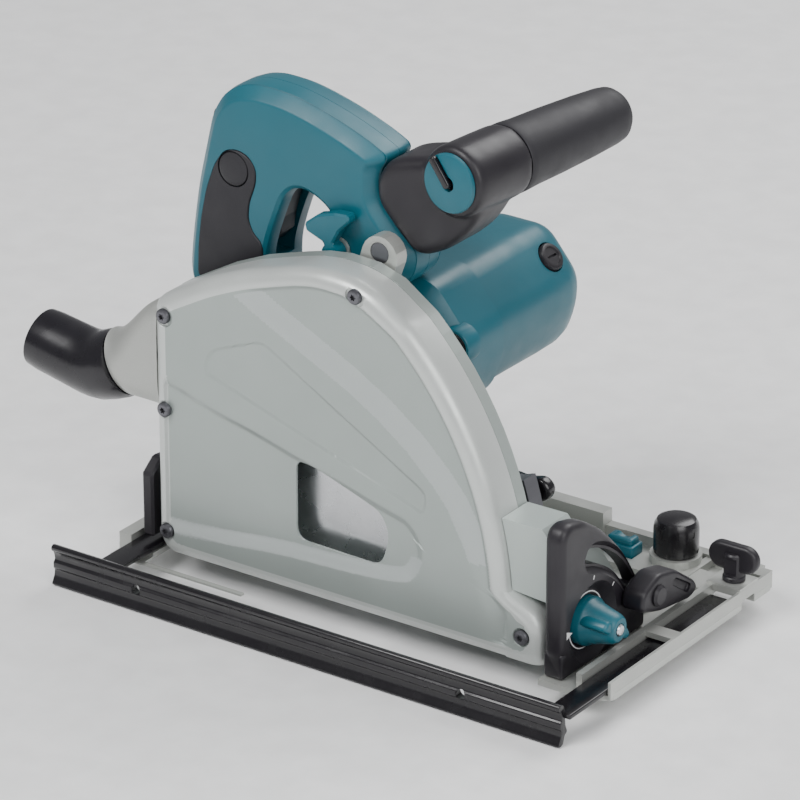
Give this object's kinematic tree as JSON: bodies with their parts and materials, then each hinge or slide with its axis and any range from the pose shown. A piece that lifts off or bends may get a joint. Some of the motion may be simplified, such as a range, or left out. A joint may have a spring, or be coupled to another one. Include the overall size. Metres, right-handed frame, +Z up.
{
  "type": "track plunge saw",
  "caption": "Plunge saw on a flat base: enclosed blade that tilts for bevels, sprung plunging motor, D-handle, front grip, dust elbow and side fence.",
  "frame": {"origin": "centre of the base plate's sole", "axes": "+X in the cutting direction, -Y towards the blade side, +Z up from the sole"},
  "size_m": [0.4217, 0.2429, 0.304],
  "materials": {
    "cast_aluminium": "cast, satin",
    "case_silver_paint": "metallic paint",
    "teal_plastic": "satin moulded",
    "black_plastic": "fine texture",
    "black_rubber": "matt",
    "bright_steel": "ground",
    "dark_steel": "blackened",
    "copper_windings": "lacquered"
  },
  "bodies": {
    "base": {"base_plate": "cast_aluminium", "front_bevel_quadrant": "black_plastic", "rear_bevel_quadrant": "black_plastic"},
    "rule": {"guide_rule": "black_plastic"},
    "front_wing": {"front_wing_screw": "black_plastic"},
    "rear_wing": {"rear_wing_screw": "black_plastic"},
    "rail_knob": {"rail_adjust_knob": "black_plastic"},
    "slider": {"anti_tip_slider": "teal_plastic"},
    "stopper": {"bevel_stopper_knob": "teal_plastic"},
    "case": {"blade_case": "case_silver_paint", "blade_cover": "case_silver_paint", "cover_screw_1": "dark_steel", "cover_screw_2": "dark_steel", "cover_screw_3": "dark_steel", "cover_screw_4": "dark_steel", "cover_screw_5": "dark_steel", "dust_port": "cast_aluminium", "depth_scale": "black_plastic", "plunge_shaft": "bright_steel", "return_spring": "bright_steel"},
    "nozzle": {"dust_nozzle": "black_rubber"},
    "front_clamp": {"front_clamp_lever": "black_plastic"},
    "rear_clamp": {"rear_clamp_lever": "black_plastic"},
    "stop": {"depth_stop": "dark_steel"},
    "stop_knob": {"depth_stop_knob": "black_plastic"},
    "motor_unit": {"gear_housing": "cast_aluminium", "boss_screw": "dark_steel", "spindle_bearing": "bright_steel", "motor_front_bearing": "bright_steel", "motor_housing": "teal_plastic", "field_stator": "dark_steel", "carbon_brush_1": "dark_steel", "carbon_brush_2": "dark_steel", "brush_cap_1": "black_plastic", "brush_cap_2": "black_plastic", "handle_near_half": "teal_plastic", "handle_far_half": "teal_plastic", "grip_rubber_near": "black_rubber", "grip_rubber_spine": "black_rubber", "switch_body": "black_plastic", "cord_inlet": "black_plastic", "grip_neck": "black_plastic", "front_grip": "black_rubber", "grip_cap": "teal_plastic"},
    "trigger": {"trigger": "black_plastic"},
    "button": {"lock_off_button": "black_plastic"},
    "dial": {"speed_dial": "black_plastic"},
    "change_lever": {"blade_change_lever": "teal_plastic"},
    "key": {"hex_key": "dark_steel"},
    "spindle": {"spindle": "dark_steel", "inner_flange": "dark_steel", "saw_blade": "bright_steel", "outer_flange": "dark_steel", "blade_bolt": "dark_steel", "spindle_gear": "dark_steel"},
    "idler": {"intermediate_gear": "dark_steel"},
    "armature": {"armature_shaft": "dark_steel", "armature_core": "copper_windings", "commutator": "copper_windings", "motor_fan": "black_plastic"}
  },
  "joints": [
    {"name": "bevel_tilt", "type": "hinge", "parent": "base", "child": "case", "pos_m": [0, -0.08, 0], "axis": [1, 0, 0], "range_deg": [-1, 48]},
    {"name": "plunge", "type": "hinge", "parent": "case", "child": "motor_unit", "pos_m": [-0.12, -0.048, 0.03], "axis": [0, 1, 0], "range_deg": [0, 34.1], "stiffness_Nm_per_rad": 3, "springref_deg": -126.05},
    {"name": "blade_spin", "type": "hinge", "parent": "motor_unit", "child": "spindle", "pos_m": [-0.0105, -0.076, 0.1], "axis": [0, 1, 0], "continuous": true},
    {"name": "idler_spin", "type": "hinge", "parent": "motor_unit", "child": "idler", "pos_m": [-0.0192, -0.04, 0.1224], "axis": [0, 1, 0], "continuous": true},
    {"name": "armature_spin", "type": "hinge", "parent": "motor_unit", "child": "armature", "pos_m": [-0.015, 0.02, 0.146], "axis": [0, 1, 0], "continuous": true},
    {"name": "trigger_pull", "type": "hinge", "parent": "motor_unit", "child": "trigger", "pos_m": [-0.1, -0.025, 0.234], "axis": [0, 1, 0], "range_deg": [0, 7], "stiffness_Nm_per_rad": 0.8, "springref_deg": -8.59},
    {"name": "lock_off_press", "type": "slide", "parent": "motor_unit", "child": "button", "axis": [0, 1, 0], "range_m": [0, 0.0015], "stiffness_N_per_m": 900, "springref_m": -0.002},
    {"name": "dial_turn", "type": "hinge", "parent": "motor_unit", "child": "dial", "pos_m": [-0.134, -0.0047, 0.178], "axis": [0, 1, 0], "range_deg": [-120, 120]},
    {"name": "change_lever_turn", "type": "hinge", "parent": "motor_unit", "child": "change_lever", "pos_m": [-0.043, -0.05, 0.207], "axis": [0, 1, 0], "range_deg": [-35, 0]},
    {"name": "key_pull", "type": "slide", "parent": "motor_unit", "child": "key", "axis": [-0.0797, -0.9967, 0.0169], "range_m": [0, 0.12]},
    {"name": "nozzle_swivel", "type": "hinge", "parent": "case", "child": "nozzle", "pos_m": [-0.177, -0.073, 0.114], "axis": [-0.8942, 0, -0.4478], "range_deg": [-60, 60]},
    {"name": "front_clamp_turn", "type": "hinge", "parent": "case", "child": "front_clamp", "pos_m": [0.1414, -0.015, 0.0308], "axis": [1, 0, 0], "range_deg": [0, 40]},
    {"name": "rear_clamp_turn", "type": "hinge", "parent": "case", "child": "rear_clamp", "pos_m": [-0.1584, -0.03481, 0.02141], "axis": [1, 0, 0], "range_deg": [0, 40]},
    {"name": "depth_stop_slide", "type": "hinge", "parent": "case", "child": "stop", "pos_m": [-0.12, -0.048, 0.03], "axis": [0, 1, 0], "range_deg": [0, 8]},
    {"name": "depth_stop_knob_turn", "type": "hinge", "parent": "stop", "child": "stop_knob", "pos_m": [0.07851, -0.0416, 0.08505], "axis": [0, 1, 0], "range_deg": [-30, 0]},
    {"name": "stopper_turn", "type": "hinge", "parent": "base", "child": "stopper", "pos_m": [0.141, -0.06, 0.029], "axis": [1, 0, 0], "range_deg": [0, 90]},
    {"name": "rail_knob_turn", "type": "hinge", "parent": "base", "child": "rail_knob", "pos_m": [0.115, 0.07, 0.014], "axis": [0, 0, 1], "range_deg": [0, 180]},
    {"name": "front_wing_turn", "type": "hinge", "parent": "base", "child": "front_wing", "pos_m": [0.162, 0.058, 0.0144], "axis": [0, 0, 1], "range_deg": [0, 90]},
    {"name": "rear_wing_turn", "type": "hinge", "parent": "base", "child": "rear_wing", "pos_m": [-0.155, 0.058, 0.0144], "axis": [0, 0, 1], "range_deg": [0, 90]},
    {"name": "anti_tip_slide", "type": "slide", "parent": "base", "child": "slider", "axis": [0, 1, 0], "range_m": [0, 0.012]},
    {"name": "rule_slide", "type": "slide", "parent": "base", "child": "rule", "axis": [0, -1, 0], "range_m": [-0.02, 0.05]}
  ],
  "couplings": [
    {"joint": "idler_spin", "follows": "blade_spin", "ratio": -2.2},
    {"joint": "armature_spin", "follows": "blade_spin", "ratio": 5.0286}
  ]
}
